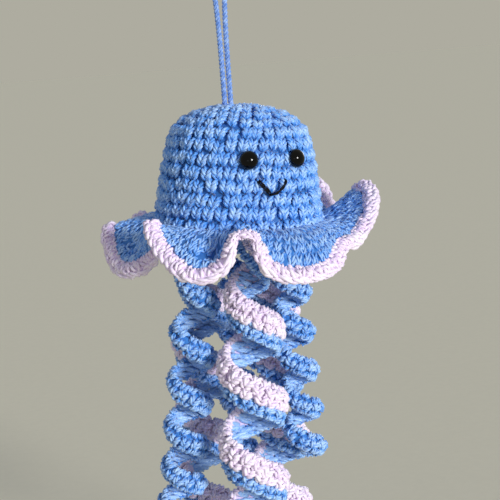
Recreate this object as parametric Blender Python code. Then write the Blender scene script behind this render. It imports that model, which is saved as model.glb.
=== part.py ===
"""Crocheted jellyfish ornament: stuffed bell, ruffled frill, six curled tentacles and a hanging loop.

Metres, +Z up. The origin is the inside top of the hanging loop, where a hook or pin carries it, and the
face looks along -Y. The loop hangs plumb. It is sewn on a little to one side of the crown, so the bell
and all that it carries hang tilted below it: they are modelled upright round the bell's own axis, with
z = 0 at the crown, and parented to one empty that holds the tilt.
"""
import math

import bmesh
import bpy
from mathutils import Matrix, Vector

# Yarn and working clearances
GAP = 0.0003                      # between pieces that touch
YARN_RELIEF = 0.0004              # height of a crochet stitch above its groove
ROW_HEIGHT = 0.0048               # one crochet round, measured along the fabric

# Bell
BELL_HEIGHT = 0.0435
BELL_BASE_RADIUS = 0.0305
BELL_SHOULDER_RADIUS = 0.0254
BELL_SHOULDER_DEPTH = 0.0125
BELL_WALL = 0.003
BELL_WALL_BULGE = 0.75            # exponent of the widening below the shoulder: 1 is a straight cone
BELL_COLUMNS = 26
LINING_ROWS = 2                   # rounds to each facet of the plain inside

# Base disc that closes the bell
DISC_THICKNESS = 0.0026

# Eyes: glossy domes on ribbed posts, locked by washers inside
EYE_AZIMUTHS = {"eye_left": -20.0, "eye_right": 19.5}
EYE_DEPTH = 0.0177
EYE_RADIUS = 0.0030
EYE_DOME_HEIGHT = 0.0026
EYE_POST_RADIUS = 0.0012
EYE_POST_LENGTH = 0.0088
EYE_RIB_HEIGHT = 0.00025
EYE_RIBS = 2
EYE_POST_CLEARANCE = 0.0004
WASHER_RADIUS = 0.0040
WASHER_THICKNESS = 0.0012

# Smile: one embroidered thread
SMILE_THREAD_DIAMETER = 0.0009
SMILE_AZIMUTH = -3.4
SMILE_HALF_ANGLE = 10.6
SMILE_CORNER_DEPTH = 0.0248
SMILE_DROP = 0.0043

# Frill: a ruffled skirt worked on the bell's last round, with an edging in a second colour
FRILL_THICKNESS = 0.0026
FRILL_ROOT_RISE = 0.0015          # the frill is worked on this far above the bell's base
FRILL_COLUMNS = 80
FRILL_STEPS = 3
FRILL_ROOT_FLARE = 0.42           # how far the fabric leaves the bell level before it bends
FRILL_LIFT = 2.0                  # a lobe that rises one in this many or steeper is straight from the root
EDGING_WIDTH = 0.0059
EDGING_THICKNESS = 0.0036
EDGING_SIDES = 6
EDGING_CLEARANCE = 0.0006         # between the frill's edge and the edging, for the tight folds
# Crests and hollows of the middle of the edging: azimuth in degrees, distance out from the bell's side
# and drop below the frill's root in mm
FRILL_RIM = (
    (-139, 15, 8), (-126, 16, 5), (-117, 17, 3), (-108, 16, 9), (-97, 14, 15), (-86, 12, 14),
    (-79, 10, 11), (-73, 9, 4),
    (-74, 10, -2), (-68, 13, 1), (-57, 16, 7), (-45, 19, 12), (-36, 18, 10), (-32, 16, 4),
    (-28, 15, -1), (-21, 15, -1), (-17, 16, 4), (-13, 17, 10), (-3, 19, 12), (11, 18, 11), (25, 14, 5),
    (37, 15, 4), (51, 17, -3), (65, 18, -9), (78, 17, -11), (88, 15, -2), (100, 16, 2), (114, 17, -10),
    (128, 18, 1), (139, 15, 4), (151, 15, 0), (166, 20, 8), (183, 19, 12), (199, 14, 4), (211, 15, 2))

# Tentacles: corkscrew ribbons sewn to the base disc
BLUE_OPENING_LENGTH = 0.024       # drop over which a curl opens from its sewn root to its full coil
WHITE_OPENING_LENGTH = 0.050
ROOT_COIL_SHARE = 0.12
ROOT_WIDTH_SHARE = 0.55
RIBBON_THICKNESS = 0.0033
RIBBON_CROWN = 0.0018             # how far the middle of a ribbon stands out past its edges
BLUE_EDGE_WIDTH = 0.0042          # lower border of a two-colour ribbon
LEAN_AZIMUTH = 63.0
FACING_AZIMUTH = -27.0
# name, root azimuth and reach, coil radius, ribbon width, first and last pitch, depth of the first pass
# over the side at FACING_AZIMUTH, tip depth (mm), lean (degrees towards LEAN_AZIMUTH), steps per turn
BLUE_TENTACLES = (
    ("tentacle_blue_left", -83.5, 16.3, 6.1, 8.2, 23.5, 12.0, 65.5, 156.0, -4.2, 12),
    ("tentacle_blue_right", 41.0, 17.4, 5.2, 7.4, 15.4, 14.0, 63.0, 129.0, 6.0, 12),
    ("tentacle_blue_back", 159.0, 24.0, 5.0, 7.4, 14.6, 13.6, 62.5, 150.0, 2.1, 10))
WHITE_TENTACLES = (
    ("front", -16.0, 20.9, 9.6, 12.6, 23.0, 32.0, 72.8, 158.0, 0.9, 12),
    ("back_right", 112.0, 15.9, 8.9, 12.4, 24.6, 27.0, 71.0, 160.0, 3.2, 11),
    ("back_left", 207.0, 18.6, 9.0, 12.4, 25.0, 27.0, 70.5, 155.0, 2.0, 11))

# Hanging loop: one doubled cord, knotted inside the crown
CORD_DIAMETER = 0.0019
LOOP_DROP = 0.060                 # from the hook to the crown
LOOP_RADIUS = 0.0036              # centre line of the bend over the hook
LOOP_SPREAD_START = 0.005         # height above the crown where the two strands part
LOOP_SPREAD_POWER = 3.5           # the strands part slowly at first
LOOP_SPREAD_DEG = 11.0            # slant of each strand where it meets the bend
CORD_HOLE_RADIUS = 0.0024
KNOT_RADIUS = 0.0034
CORD_OFFSET = 0.0039              # the loop is sewn on this far from the bell's axis
CORD_OFFSET_AZIMUTH = -117.0
TILT_DEG = 4.3                    # the bell leans this much towards LEAN_AZIMUTH

MM = 0.001
COLOURS = {
    "yarn_blue": ((0.16, 0.37, 0.82), 0.85),
    "yarn_white": ((0.74, 0.68, 0.88), 0.85),
    "cord_blue": ((0.20, 0.34, 0.70), 0.8),
    "eye_black": ((0.006, 0.006, 0.008), 0.08),
    "washer_black": ((0.02, 0.02, 0.022), 0.45),
    "thread_black": ((0.01, 0.01, 0.016), 0.7),
    "fibrefill": ((0.85, 0.85, 0.84), 0.95),
}


def polar(azimuth, reach, height):
    """Point round the bell's axis: azimuth 0 faces -Y, and positive azimuths turn towards +X."""
    angle = math.radians(azimuth)
    return Vector((reach * math.sin(angle), -reach * math.cos(angle), height))


def material(slot):
    colour, roughness = COLOURS[slot]
    finish = bpy.data.materials.get(slot) or bpy.data.materials.new(slot)
    finish.use_nodes = True
    shader = finish.node_tree.nodes["Principled BSDF"]
    shader.inputs["Base Color"].default_value = (*colour, 1.0)
    shader.inputs["Roughness"].default_value = roughness
    shader.inputs["Metallic"].default_value = 0.0
    return finish


def place(name, data, slot, parent, matrix=None):
    """Links a mesh or curve under a parent, with its material."""
    item = bpy.data.objects.new(name, data)
    bpy.context.collection.objects.link(item)
    data.materials.append(material(slot))
    item.parent = parent
    if matrix is not None:
        item.matrix_basis = matrix
    return item


def mesh_of_rings(name, rings, looped=False):
    """One closed mesh through rings of equal length; open ends are closed by a fan."""
    form = bmesh.new()
    loops = [[form.verts.new(point) for point in ring] for ring in rings]
    count = len(loops[0])
    pairs = list(zip(loops, loops[1:]))
    if looped:
        pairs.append((loops[-1], loops[0]))
    for low, high in pairs:
        for index in range(count):
            after = (index + 1) % count
            form.faces.new((low[index], low[after], high[after], high[index]))
    if not looped:
        for loop in (loops[0], loops[-1]):
            centre = form.verts.new(sum((vert.co for vert in loop), Vector()) / count)
            for index in range(count):
                form.faces.new((loop[index], loop[(index + 1) % count], centre))
    bmesh.ops.recalc_face_normals(form, faces=form.faces)
    bmesh.ops.triangulate(form, faces=form.faces, quad_method="SHORT_EDGE")
    mesh = bpy.data.meshes.new(name)
    form.to_mesh(mesh)
    form.free()
    return mesh


def turned(profile, columns):
    """Rings of a profile of (radius, height) pairs turned round the Z axis."""
    return [[polar(360.0 * column / columns, radius, height) for column in range(columns)]
            for radius, height in profile]


def smooth(mesh, angle=40.0):
    mesh.shade_smooth()
    mesh.set_sharp_from_angle(angle=math.radians(angle))


def spline(points, closed, steps):
    """Catmull-Rom curve through points, with a number of steps to each span."""
    count = len(points)
    spans = count if closed else count - 1

    def point(index):
        return points[index % count] if closed else points[max(0, min(count - 1, index))]
    curve = []
    for span in range(spans):
        before, start, end, after = (point(span + shift) for shift in (-1, 0, 1, 2))
        for step in range(steps):
            t = step / steps
            curve.append(0.5 * (2 * start + (end - before) * t
                                + (2 * before - 5 * start + 4 * end - after) * t ** 2
                                + (3 * start - before - 3 * end + after) * t ** 3))
    if not closed:
        curve.append(points[-1])
    return curve


def resample(curve, count, closed):
    """Points at equal distances along a polyline."""
    path = curve + [curve[0]] if closed else curve
    reach = [0.0]
    for start, end in zip(path, path[1:]):
        reach.append(reach[-1] + (end - start).length)
    result = []
    span = 0
    for index in range(count):
        wanted = reach[-1] * index / (count if closed else count - 1)
        while span < len(path) - 2 and reach[span + 1] < wanted:
            span += 1
        length = reach[span + 1] - reach[span]
        result.append(path[span].lerp(path[span + 1], (wanted - reach[span]) / length))
    return result


def bell_radius(depth):
    """Outer radius of the bell's fabric, without its stitches, at a depth below the crown."""
    if depth < BELL_SHOULDER_DEPTH:
        rest = 1.0 - depth / BELL_SHOULDER_DEPTH
        return BELL_SHOULDER_RADIUS * math.sqrt(max(0.0, 1.0 - rest * rest))
    share = (depth - BELL_SHOULDER_DEPTH) / (BELL_HEIGHT - BELL_SHOULDER_DEPTH)
    return BELL_SHOULDER_RADIUS + (BELL_BASE_RADIUS - BELL_SHOULDER_RADIUS) * share ** BELL_WALL_BULGE


def bell_profile(step):
    """Points and outward normals at equal steps of fabric from the crown to the base, as (r, z)."""
    fine = 400
    outline = []
    for index in range(fine + 1):
        depth = BELL_HEIGHT * (index / fine) ** 2
        outline.append(Vector((bell_radius(depth), -depth)))
    reach = [0.0]
    for start, end in zip(outline, outline[1:]):
        reach.append(reach[-1] + (end - start).length)
    count = round(reach[-1] / step)
    points = []
    for index in range(1, count + 1):
        wanted = reach[-1] * index / count
        span = next(i for i in range(fine) if reach[i + 1] >= wanted - 1e-9)
        along = (outline[span + 1] - outline[span]).normalized()
        share = (wanted - reach[span]) / (reach[span + 1] - reach[span])
        points.append((outline[span].lerp(outline[span + 1], share), Vector((-along.y, along.x))))
    return points


def lining_profile(offset):
    """Turned outline (r, z) a distance inside the bell's skin, from the crown to the base."""
    lining = []
    for point, normal in bell_profile(ROW_HEIGHT * LINING_ROWS):
        spot = point - normal * offset
        lining.append((max(spot.x, offset), spot.y))
    return lining


def surface_frame(azimuth, depth):
    """Place on the bell's outer skin whose local +Z points straight out of the fabric."""
    step = 0.0005
    slope = (bell_radius(depth + step) - bell_radius(depth - step)) / (2 * step)
    outward = polar(azimuth, 1.0, slope).normalized()
    upward = (Vector((0, 0, 1)) - outward * outward.z).normalized()
    sideways = upward.cross(outward)
    frame = Matrix((sideways, upward, outward)).transposed().to_4x4()
    frame.translation = polar(azimuth, bell_radius(depth), -depth)
    return frame


def cutter(name, steps, frame, parent, target):
    """Cuts a round hole along a frame's Z axis, through steps of (radius, height)."""
    rings = [[Vector((radius * math.cos(a), radius * math.sin(a), height))
              for a in (math.tau * side / 12 for side in range(12))] for radius, height in steps]
    tool = bpy.data.objects.new(name, mesh_of_rings(name, rings))
    bpy.context.collection.objects.link(tool)
    tool.parent = parent
    tool.matrix_basis = frame
    tool.hide_render = True
    tool.display_type = "WIRE"
    cut = target.modifiers.new(name, "BOOLEAN")
    cut.operation = "DIFFERENCE"
    cut.object = tool


def hang_axis():
    """Empty that carries the bell's tilt and drop below the hook."""
    axis = bpy.data.objects.new("bell_axis", None)
    bpy.context.collection.objects.link(axis)
    towards = polar(LEAN_AZIMUTH, 1.0, 0.0)
    tilt = Matrix.Rotation(math.radians(TILT_DEG), 4, Vector((0, 0, 1)).cross(towards))
    seat = tilt @ polar(CORD_OFFSET_AZIMUTH, CORD_OFFSET, -crown_dip())
    axis.matrix_world = Matrix.Translation(Vector((0, 0, -LOOP_DROP)) - seat) @ tilt
    return axis


def crown_dip():
    """Depth of the bell's skin where the loop is sewn on."""
    share = CORD_OFFSET / BELL_SHOULDER_RADIUS
    return BELL_SHOULDER_DEPTH * (1.0 - math.sqrt(1.0 - share * share))


def washer_seat():
    """Distance inwards from the bell's skin to the face of a washer, whose edge meets the curved wall first."""
    hollow = WASHER_RADIUS ** 2 / (2 * (bell_radius(EYE_DEPTH) - BELL_WALL))
    return BELL_WALL + hollow + GAP


def build_bell(axis):
    """Crochet shell: rounds of stitches outside, plain inside, open at the base."""
    outer = []
    for index, (point, normal) in enumerate(bell_profile(ROW_HEIGHT / 2)):
        crest = index % 2 == 0
        ring = []
        for column in range(BELL_COLUMNS):
            raised = YARN_RELIEF if crest else -YARN_RELIEF
            if crest and (column + index // 2) % 2:
                raised -= 1.5 * YARN_RELIEF
            spot = point + normal * raised
            ring.append(polar(360.0 * column / BELL_COLUMNS, spot.x, spot.y))
        outer.append(ring)
    inner = lining_profile(BELL_WALL)[::-1]
    inner[0] = (BELL_BASE_RADIUS - BELL_WALL, -BELL_HEIGHT)
    bell = place("bell", mesh_of_rings("bell", outer + turned(inner, BELL_COLUMNS)), "yarn_blue", axis)
    for name, azimuth in EYE_AZIMUTHS.items():
        bore = EYE_POST_RADIUS + EYE_RIB_HEIGHT + EYE_POST_CLEARANCE
        cutter(name + "_hole", ((bore, -2 * BELL_WALL), (bore, BELL_WALL)),
               surface_frame(azimuth, EYE_DEPTH), axis, bell)
    cutter("cord_hole", ((CORD_HOLE_RADIUS, -2 * BELL_WALL), (CORD_HOLE_RADIUS, BELL_WALL)),
           crown_frame(), axis, bell)
    return bell


def crown_frame():
    """Place on the crown where the loop enters, with its Z axis up the hanging cord."""
    plumb = Matrix.Rotation(math.radians(-TILT_DEG), 4,
                            Vector((0, 0, 1)).cross(polar(LEAN_AZIMUTH, 1.0, 0.0)))
    return Matrix.Translation(polar(CORD_OFFSET_AZIMUTH, CORD_OFFSET, -crown_dip())) @ plumb


def build_stuffing(axis):
    """Fibrefill that fills the bell, dented by the washers and the knot."""
    floor = -BELL_HEIGHT + DISC_THICKNESS + GAP
    lining = BELL_WALL + 2 * GAP
    profile = [(radius, height) for radius, height in lining_profile(lining) if height > floor + GAP]
    profile.append((bell_radius(-floor) - lining, floor))
    filling = place("stuffing", mesh_of_rings("stuffing", turned(profile, BELL_COLUMNS)), "fibrefill", axis)
    for name, azimuth in EYE_AZIMUTHS.items():
        post = EYE_POST_RADIUS + EYE_RIB_HEIGHT + GAP
        washer = WASHER_RADIUS + GAP
        behind = -washer_seat() - WASHER_THICKNESS - GAP
        cutter(name + "_dent", ((post, -EYE_POST_LENGTH - GAP), (post, behind), (washer, behind),
                                (washer, BELL_WALL)), surface_frame(azimuth, EYE_DEPTH), axis, filling)
    knot = KNOT_RADIUS + GAP
    cutter("knot_dent", ((knot, -BELL_WALL - 2 * KNOT_RADIUS - 3 * GAP), (knot, BELL_WALL)),
           crown_frame(), axis, filling)


def build_base_disc(axis):
    """Crocheted disc that closes the bell and carries the tentacles."""
    radius = BELL_BASE_RADIUS - BELL_WALL - 2 * GAP
    rounds = round(radius / ROW_HEIGHT)
    profile = []
    for index in range(1, rounds + 1):
        relief = YARN_RELIEF if index % 2 else 0.0
        profile.append((radius * index / rounds, -BELL_HEIGHT + relief))
    profile.append((radius, -BELL_HEIGHT + DISC_THICKNESS))
    profile.append((radius / 2, -BELL_HEIGHT + DISC_THICKNESS))
    place("base_disc", mesh_of_rings("base_disc", turned(profile, 18)), "yarn_blue", axis)


def build_eyes(axis):
    """Safety eyes seated on the stitches, each with a ribbed post and a lock washer behind."""
    sides = 12
    seat = YARN_RELIEF + GAP
    for name, azimuth in EYE_AZIMUTHS.items():
        frame = surface_frame(azimuth, EYE_DEPTH)
        profile = []
        for step in range(4):
            angle = math.pi / 2 * (3 - step) / 3.6
            profile.append((EYE_RADIUS * math.cos(angle), seat + EYE_DOME_HEIGHT * math.sin(angle)))
        profile.append((EYE_RADIUS, seat + 0.0003))
        profile.append((EYE_RADIUS * 0.93, seat))
        profile.append((EYE_POST_RADIUS, seat))
        reach = EYE_POST_LENGTH - washer_seat() - WASHER_THICKNESS
        for rib in range(EYE_RIBS):
            top = -washer_seat() - WASHER_THICKNESS - reach * rib / EYE_RIBS - GAP
            profile.append((EYE_POST_RADIUS, top))
            profile.append((EYE_POST_RADIUS + EYE_RIB_HEIGHT, top - reach / EYE_RIBS * 0.5))
        profile.append((EYE_POST_RADIUS * 0.7, -EYE_POST_LENGTH))
        eye = mesh_of_rings(name, turned(profile, sides))
        smooth(eye)
        place(name, eye, "eye_black", axis, frame)
        bore = EYE_POST_RADIUS + EYE_RIB_HEIGHT + GAP
        rim = ((bore, -washer_seat()), (WASHER_RADIUS * 0.9, -washer_seat()),
               (WASHER_RADIUS, -washer_seat() - WASHER_THICKNESS / 2),
               (WASHER_RADIUS * 0.9, -washer_seat() - WASHER_THICKNESS),
               (bore, -washer_seat() - WASHER_THICKNESS))
        washer = mesh_of_rings(name.replace("eye", "eye_washer"), turned(rim, sides), looped=True)
        place(washer.name, washer, "washer_black", axis, frame)


def cord_curve(name, points, diameter, slot, parent):
    """Round cord with capped ends along a list of points."""
    data = bpy.data.curves.new(name, "CURVE")
    data.dimensions = "3D"
    data.bevel_depth = diameter / 2
    data.bevel_resolution = 2
    data.use_fill_caps = True
    line = data.splines.new("POLY")
    line.points.add(len(points) - 1)
    for target, point in zip(line.points, points):
        target.co = (*point, 1.0)
    return place(name, data, slot, parent)


def build_smile(axis):
    """Thread laid on the stitches in a shallow V with a round bottom."""
    lift = YARN_RELIEF + GAP + SMILE_THREAD_DIAMETER / 2
    steps = 10
    points = []
    for step in range(steps + 1):
        side = 2.0 * step / steps - 1.0
        depth = SMILE_CORNER_DEPTH + SMILE_DROP * (1.0 - abs(side) ** 1.6)
        frame = surface_frame(SMILE_AZIMUTH + SMILE_HALF_ANGLE * side, depth)
        points.append(frame @ Vector((0, 0, lift)))
    cord_curve("smile", points, SMILE_THREAD_DIAMETER, "thread_black", axis)


def frill_lines():
    """Root point, direction straight out of the bell and rim point of every column of stitches."""
    root_depth = BELL_HEIGHT - FRILL_ROOT_RISE
    side = bell_radius(root_depth)
    rim = [polar(azimuth, side + out * MM, -root_depth - drop * MM) for azimuth, out, drop in FRILL_RIM]
    edge = resample(spline(rim, True, 12), FRILL_COLUMNS, True)
    turns = []
    last = math.degrees(math.atan2(edge[0].x, -edge[0].y))
    for point in edge:
        azimuth = math.degrees(math.atan2(point.x, -point.y))
        last += (azimuth - last + 180.0) % 360.0 - 180.0
        turns.append(last)
    window = FRILL_COLUMNS // 8
    roots = []
    for index in range(FRILL_COLUMNS):
        total = 0.0
        for shift in range(-window, window + 1):
            place_at = index + shift
            total += turns[place_at % FRILL_COLUMNS] + 360.0 * (place_at // FRILL_COLUMNS)
        roots.append(total / (2 * window + 1))
    radius = side + YARN_RELIEF + GAP
    return [(polar(azimuth, radius, -root_depth), polar(azimuth, 1.0, 0.0), point)
            for azimuth, point in zip(roots, edge)]


def frill_surface():
    """Middle surface of the frill: for each column its points from root to edge, and the edge direction."""
    columns = []
    for root, outward, rim in frill_lines():
        reach = (rim - root).length
        straight = (rim - root) / reach
        lift = min(1.0, max(0.0, FRILL_LIFT * straight.z))
        first = root + outward.lerp(straight, lift) * reach * FRILL_ROOT_FLARE
        run = (rim - first).normalized()
        edge = rim - run * (EDGING_WIDTH / 2 + EDGING_CLEARANCE)
        second = edge - run * reach * 0.3
        line = []
        for step in range(FRILL_STEPS + 1):
            t = step / FRILL_STEPS
            line.append(root * (1 - t) ** 3 + first * 3 * t * (1 - t) ** 2
                        + second * 3 * t * t * (1 - t) + edge * t ** 3)
        columns.append((line, run))
    return columns


def frill_normal(lines, column, step):
    """Upward normal of the middle surface."""
    count = len(lines)
    along = lines[(column + 1) % count][step] - lines[(column - 1) % count][step]
    line = lines[column]
    across = line[min(step + 1, len(line) - 1)] - line[max(step - 1, 0)]
    return across.cross(along).normalized() * -1.0


def build_frill(axis):
    """Ruffled skirt with upright stitches as ribs, and its edging all round the rim."""
    columns = frill_surface()
    lines = [line for line, run in columns]
    skirt = []
    edging = []
    for column, (line, run) in enumerate(columns):
        rib = YARN_RELIEF * (0.5 if column % 2 else -0.5)
        normals = [frill_normal(lines, column, step) for step in range(FRILL_STEPS + 1)]
        half = FRILL_THICKNESS / 2
        above = [point + normal * (half + rib) for point, normal in zip(line, normals)]
        below = [point - normal * (half + rib) for point, normal in zip(line, normals)]
        above[0] = line[0] + Vector((0, 0, half))
        below[0] = line[0] - Vector((0, 0, half))
        skirt.append(above + below[::-1])
        side = lines[(column + 1) % FRILL_COLUMNS][-1] - lines[column - 1][-1]
        normal = normals[-1]
        out = side.cross(normal).normalized()
        if out.dot(run) < 0:
            out = -out
        centre = line[-1] + out * (EDGING_CLEARANCE + EDGING_WIDTH / 2)
        swell = 1.0 if column % 2 else 0.86
        ring = []
        for corner in range(EDGING_SIDES):
            angle = math.tau * (corner + 0.5) / EDGING_SIDES + math.pi
            wide = EDGING_WIDTH / 2 * math.cos(angle) / math.cos(math.pi / EDGING_SIDES)
            ring.append(centre + out * wide + normal * (EDGING_THICKNESS / 2 * swell * math.sin(angle)))
        edging.append(ring)
    place("frill", mesh_of_rings("frill", skirt, looped=True), "yarn_blue", axis)
    place("frill_edging", mesh_of_rings("frill_edging", edging, looped=True), "yarn_white", axis)


def curl(opening, azimuth, reach, coil, pitch_first, pitch_last, first_pass, tip, lean, steps):
    """Stations down a corkscrew ribbon: centre, outward, crosswise direction and share of full width."""
    root = polar(azimuth, reach * MM, -BELL_HEIGHT - GAP)
    drift = polar(LEAN_AZIMUTH, math.tan(math.radians(lean)), 0.0)
    top = BELL_HEIGHT / MM

    def pitch(depth):
        return pitch_first + (pitch_last - pitch_first) * (depth - top) / (tip - top)
    turn = FACING_AZIMUTH
    depth = first_pass
    while depth > top:
        turn -= 360.0 / steps
        depth -= pitch(depth) / steps
    centres = []
    outwards = []
    drop = 0.0
    stations = 0
    depth = top
    while depth < tip:
        depth = top + drop
        open_share = math.sin(math.pi / 2 * min(1.0, drop * MM / opening))
        radius = coil * MM * (ROOT_COIL_SHARE + (1 - ROOT_COIL_SHARE) * open_share)
        radial = polar(turn, 1.0, 0.0)
        centres.append(root + radial * radius + drift * drop * MM - Vector((0, 0, drop * MM)))
        outwards.append(radial)
        turn += 360.0 / steps
        drop += pitch(depth) / steps
        stations += 1
    result = []
    for index in range(stations):
        along = centres[min(index + 1, stations - 1)] - centres[max(index - 1, 0)]
        if index == 0:
            along = Vector((0, 0, -1))
        along.normalize()
        outward = (outwards[index] - along * outwards[index].dot(along)).normalized()
        crosswise = outward.cross(along)
        rise = min(1.0, index / (steps * 0.6))
        fall = min(1.0, math.sqrt((stations - 1 - index) / (steps * 0.25)) + 0.25)
        share = min(ROOT_WIDTH_SHARE + (1 - ROOT_WIDTH_SHARE) * rise, fall)
        result.append((centres[index], outward, crosswise, share))
    return result


def ribbon(name, stations, low, high, slot, axis, sides):
    """Puffy ribbon between two edges, given as offsets across it from its centre line.

    Its outer face is crowned across the whole ribbon, whose half width is the larger offset.
    """
    full = max(-low, high)
    rings = []
    for index, (centre, outward, crosswise, share) in enumerate(stations):
        middle = centre + crosswise * ((low + high) / 2 * share)
        half = (high - low) / 2 * share
        thick = RIBBON_THICKNESS / 2 * (1.12 if index % 2 else 0.92)
        ring = []
        for corner in range(sides):
            angle = math.tau * corner / sides
            wide = half * math.copysign(abs(math.cos(angle)) ** 0.7, math.cos(angle))
            side = ((low + high) / 2 * share + wide) / full
            crown = RIBBON_CROWN * share * (0.5 - side * side)
            ring.append(middle + crosswise * wide + outward * (thick * math.sin(angle) + crown))
        rings.append(ring)
    place(name, mesh_of_rings(name, rings), slot, axis)


def build_tentacles(axis):
    for name, azimuth, reach, coil, width, *run in BLUE_TENTACLES:
        half = width * MM / 2
        stations = curl(BLUE_OPENING_LENGTH, azimuth, reach, coil, *run)
        ribbon(name, stations, -half, half, "yarn_blue", axis, 5)
    for name, azimuth, reach, coil, width, *run in WHITE_TENTACLES:
        half = width * MM / 2
        stations = curl(WHITE_OPENING_LENGTH, azimuth, reach, coil, *run)
        split = BLUE_EDGE_WIDTH - half
        ribbon("tentacle_white_" + name, stations, split + GAP, half, "yarn_white", axis, 5)
        ribbon("tentacle_edge_" + name, stations, -half, split, "yarn_blue", axis, 5)


def loop_points():
    """Centre line of the doubled cord, from the knot up over the hook and back to the knot."""
    strand = CORD_DIAMETER / 2 + GAP / 2
    sideways = polar(LEAN_AZIMUTH, 1.0, 0.0)
    foot = -LOOP_DROP - BELL_WALL - GAP
    split = -LOOP_DROP + LOOP_SPREAD_START
    centre = -LOOP_RADIUS - CORD_DIAMETER / 2
    slant = math.radians(LOOP_SPREAD_DEG)
    bend = centre - LOOP_RADIUS * math.sin(slant)
    wide = LOOP_RADIUS * math.cos(slant)
    rising = []
    steps = 14
    for step in range(steps + 1):
        height = foot + (bend - foot) * step / steps
        share = max(0.0, (height - split) / (bend - split))
        apart = strand + (wide - strand) * share ** LOOP_SPREAD_POWER
        rising.append(sideways * apart + Vector((0, 0, height)))
    over = []
    bends = 6
    for step in range(1, bends):
        angle = -slant + (math.pi + 2 * slant) * step / bends
        over.append(sideways * (LOOP_RADIUS * math.cos(angle))
                    + Vector((0, 0, centre + LOOP_RADIUS * math.sin(angle))))
    falling = [Vector((-point.x, -point.y, point.z)) for point in reversed(rising)]
    return rising + over + falling


def build_hanging_loop(axis):
    """Doubled cord through the crown, and the knot that stops it inside the bell."""
    cord_curve("hanging_loop", loop_points(), CORD_DIAMETER, "cord_blue", None)
    top = -BELL_WALL - 2 * GAP
    profile = []
    for step in range(1, 8):
        angle = math.pi * step / 8
        profile.append((KNOT_RADIUS * math.sin(angle), top - KNOT_RADIUS * 0.9 * (1 - math.cos(angle))))
    knot = mesh_of_rings("cord_knot", turned(profile, 12))
    smooth(knot)
    place("cord_knot", knot, "cord_blue", axis, crown_frame())


def main():
    for item in list(bpy.data.objects):
        bpy.data.objects.remove(item, do_unlink=True)
    axis = hang_axis()
    build_bell(axis)
    build_stuffing(axis)
    build_base_disc(axis)
    build_eyes(axis)
    build_smile(axis)
    build_frill(axis)
    build_tentacles(axis)
    build_hanging_loop(axis)


main()
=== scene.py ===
"""Crocheted jellyfish ornament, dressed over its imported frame.

Every stitch is a pair of yarn legs laid on its fabric. Metres, +Z up; the origin is the inside top of
the hanging loop. The bell and what it carries are worked out round the bell's own axis, with z = 0 at
the crown, and the tilt they hang at is baked into their meshes.
"""
import math

import bpy
import numpy as np
from mathutils import Matrix, Vector


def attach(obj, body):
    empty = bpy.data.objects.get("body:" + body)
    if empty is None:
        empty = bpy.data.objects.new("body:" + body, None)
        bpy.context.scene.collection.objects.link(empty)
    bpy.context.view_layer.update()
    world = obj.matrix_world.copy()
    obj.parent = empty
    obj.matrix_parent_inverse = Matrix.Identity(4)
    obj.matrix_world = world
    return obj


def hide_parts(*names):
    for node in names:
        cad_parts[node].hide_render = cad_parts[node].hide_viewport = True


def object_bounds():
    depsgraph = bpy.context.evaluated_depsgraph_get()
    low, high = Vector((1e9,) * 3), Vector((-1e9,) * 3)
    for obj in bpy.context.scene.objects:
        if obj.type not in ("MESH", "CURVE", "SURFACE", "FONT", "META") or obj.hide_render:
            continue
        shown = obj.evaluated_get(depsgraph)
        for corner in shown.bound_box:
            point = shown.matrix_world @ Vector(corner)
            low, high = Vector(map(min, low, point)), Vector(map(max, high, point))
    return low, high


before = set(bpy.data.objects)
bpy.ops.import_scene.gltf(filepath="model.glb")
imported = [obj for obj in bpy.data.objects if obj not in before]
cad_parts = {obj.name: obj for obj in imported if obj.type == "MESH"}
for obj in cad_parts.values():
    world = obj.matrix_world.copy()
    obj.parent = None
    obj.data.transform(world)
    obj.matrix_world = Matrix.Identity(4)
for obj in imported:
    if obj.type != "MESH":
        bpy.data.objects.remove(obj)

bl_info = {
    "name": "Crocheted Jellyfish",
    "version": (1, 0, 0),
    "blender": (4, 5, 0),
    "location": "3D View > Sidebar > Jellyfish",
    "description": "Dresses the packed jellyfish ornament with crocheted yarn, glossy eyes and its cord",
    "category": "Object",
}

CAD_BOX = [list(corner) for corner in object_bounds()]
MM = 0.001

# Bell, as in the solids
BELL_HEIGHT = 0.0435
BELL_BASE_RADIUS = 0.0305
BELL_SHOULDER_RADIUS = 0.0254
BELL_SHOULDER_DEPTH = 0.0125
BELL_WALL = 0.003
BELL_WALL_BULGE = 0.75
EYE_AZIMUTHS = {"eye_left": -20.0, "eye_right": 19.5}
EYE_DEPTH = 0.0177

# Frill, as in the solids: azimuth in degrees, distance out from the bell's side and drop below the
# frill's root in mm, for the middle of the edging
FRILL_ROOT_DEPTH = BELL_HEIGHT - 0.0015
FRILL_ROOT_FLARE = 0.42
FRILL_LIFT = 2.0
EDGING_WIDTH = 0.0059
EDGING_THICKNESS = 0.0036
EDGING_CLEARANCE = 0.0006
FRILL_RIM = (
    (-139, 15, 8), (-126, 16, 5), (-117, 17, 3), (-108, 16, 9), (-97, 14, 15), (-86, 12, 14),
    (-79, 10, 11), (-73, 9, 4), (-74, 10, -2), (-68, 13, 1), (-57, 16, 7), (-45, 19, 12), (-36, 18, 10),
    (-32, 16, 4), (-28, 15, -1), (-21, 15, -1), (-17, 16, 4), (-13, 17, 10), (-3, 19, 12), (11, 18, 11),
    (25, 14, 5), (37, 15, 4), (51, 17, -3), (65, 18, -9), (78, 17, -11), (88, 15, -2), (100, 16, 2),
    (114, 17, -10), (128, 18, 1), (139, 15, 4), (151, 15, 0), (166, 20, 8), (183, 19, 12), (199, 14, 4),
    (211, 15, 2))
# Ridges and valleys of the cloth between root and edge: azimuth in degrees, rise in mm, width in degrees
FRILL_FOLDS = ((-24.5, 2.5, 5.0), (-36.0, -7.0, 7.0), (-92.0, -6.0, 10.0))

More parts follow.
